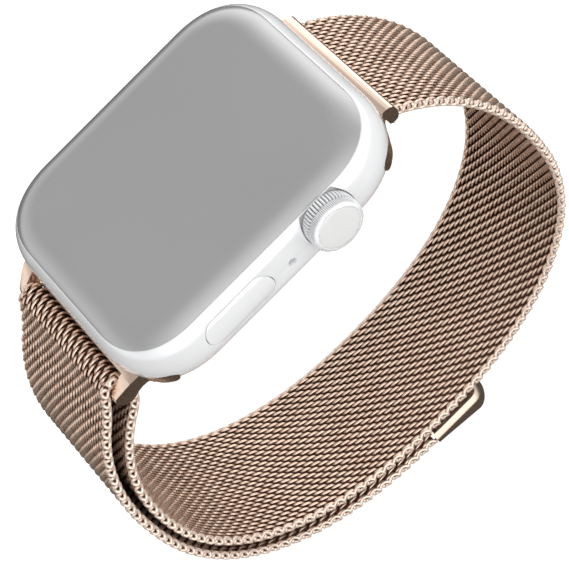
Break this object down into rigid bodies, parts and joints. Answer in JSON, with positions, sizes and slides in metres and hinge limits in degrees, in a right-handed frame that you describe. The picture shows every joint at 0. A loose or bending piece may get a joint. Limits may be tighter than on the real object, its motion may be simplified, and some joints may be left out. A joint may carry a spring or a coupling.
{
  "type": "smartwatch",
  "caption": "Rounded rectangular smartwatch with a rotating crown, a side button and a woven steel loop strap held by a magnetic clasp.",
  "frame": {"origin": "centre of the case's flat back plane, in plan", "axes": "+X towards the crown's side, +Y towards 12 o'clock, +Z out of the display"},
  "size_m": [0.0401, 0.0716, 0.0668],
  "materials": {
    "case_metal": "polished silver",
    "crystal": "clear over a dark display",
    "crown_cap": "polished cap",
    "display": "smooth",
    "back_shell": "polished",
    "back_crystal": "polished dark dome",
    "seal": "matt",
    "board": "matt",
    "led": "clear lens",
    "photodiode": "smooth",
    "copper": "varnished copper",
    "steel": "satin",
    "battery": "laminated foil pouch",
    "module": "moulded",
    "tip": "moulded",
    "mesh": "woven rose-gold wire",
    "rose_metal": "polished rose gold"
  },
  "bodies": {
    "head": {"case": "case_metal", "front_crystal": "crystal", "display_panel": "display", "touch_layer": "copper", "display_seal": "seal", "display_flex": "copper", "back_cover": "back_shell", "back_seal": "seal", "back_crystal": "back_crystal", "sensor_board": "board", "sensor_leds": "led", "photodiodes": "photodiode", "light_barrier": "module", "charging_coil": "copper", "charging_magnet": "steel", "main_board": "board", "shield_can": "steel", "board_screws": "steel", "battery": "battery", "haptic_motor": "steel", "speaker_module": "module", "speaker_mesh": "seal", "microphone": "steel", "crown_bushing": "steel", "crown_switch": "steel", "crown_encoder": "module", "side_button_seal": "seal", "side_button_switch": "steel", "crown_oring": "seal"},
    "crown_plunger": {"crown_push_tip": "tip"},
    "crown": {"crown_drum": "case_metal", "crown_rim": "case_metal", "crown_cap": "crown_cap", "crown_shaft": "steel"},
    "side_key": {"side_button": "case_metal", "side_button_stem": "steel"},
    "release_top": {"release_button_top": "case_metal"},
    "release_bottom": {"release_button_bottom": "case_metal"},
    "strap": {"adapter_top": "rose_metal", "adapter_bottom": "rose_metal", "strap_anchor_pin": "steel", "strap_loop": "mesh", "strap_return": "mesh", "latch_spring_top": "steel", "latch_spring_bottom": "steel"},
    "catch_top": {"latch_top": "steel"},
    "catch_bottom": {"latch_bottom": "steel"},
    "clasp": {"strap_tail": "mesh", "clasp_shell": "rose_metal", "clasp_magnets": "steel", "clasp_plate": "rose_metal"}
  },
  "joints": [
    {"name": "crown_press", "type": "slide", "parent": "head", "child": "crown_plunger", "axis": [-1, 0, 0], "range_m": [0, 0.0003], "stiffness_N_per_m": 4000, "springref_m": -0.0001},
    {"name": "crown_spin", "type": "hinge", "parent": "crown_plunger", "child": "crown", "pos_m": [0.019, 0.0085, 0.0052], "axis": [1, 0, 0], "continuous": true},
    {"name": "side_button_press", "type": "slide", "parent": "head", "child": "side_key", "axis": [-1, 0, 0], "range_m": [0, 0.0003], "stiffness_N_per_m": 4000, "springref_m": -0.0001},
    {"name": "release_top_press", "type": "slide", "parent": "head", "child": "release_top", "axis": [0, 0, 1], "range_m": [0, 0.0005], "stiffness_N_per_m": 1500, "springref_m": -0.0001},
    {"name": "release_bottom_press", "type": "slide", "parent": "head", "child": "release_bottom", "axis": [0, 0, 1], "range_m": [0, 0.0005], "stiffness_N_per_m": 1500, "springref_m": -0.0001},
    {"name": "strap_slide", "type": "slide", "parent": "head", "child": "strap", "axis": [1, 0, 0], "range_m": [0, 0.04]},
    {"name": "latch_top_retract", "type": "slide", "parent": "strap", "child": "catch_top", "axis": [0, 0, 1], "range_m": [0, 0.0005], "stiffness_N_per_m": 1500, "springref_m": -0.0001, "deforming": ["latch_spring_top"]},
    {"name": "latch_bottom_retract", "type": "slide", "parent": "strap", "child": "catch_bottom", "axis": [0, 0, 1], "range_m": [0, 0.0005], "stiffness_N_per_m": 1500, "springref_m": -0.0001, "deforming": ["latch_spring_bottom"]},
    {"name": "clasp_peel", "type": "hinge", "parent": "strap", "child": "clasp", "pos_m": [0, -0.01301, -0.05495], "axis": [-1, 0, 0], "range_deg": [0, 70]}
  ],
  "couplings": [
    {"joint": "latch_top_retract", "follows": "release_top_press", "ratio": 1},
    {"joint": "latch_bottom_retract", "follows": "release_bottom_press", "ratio": 1}
  ]
}
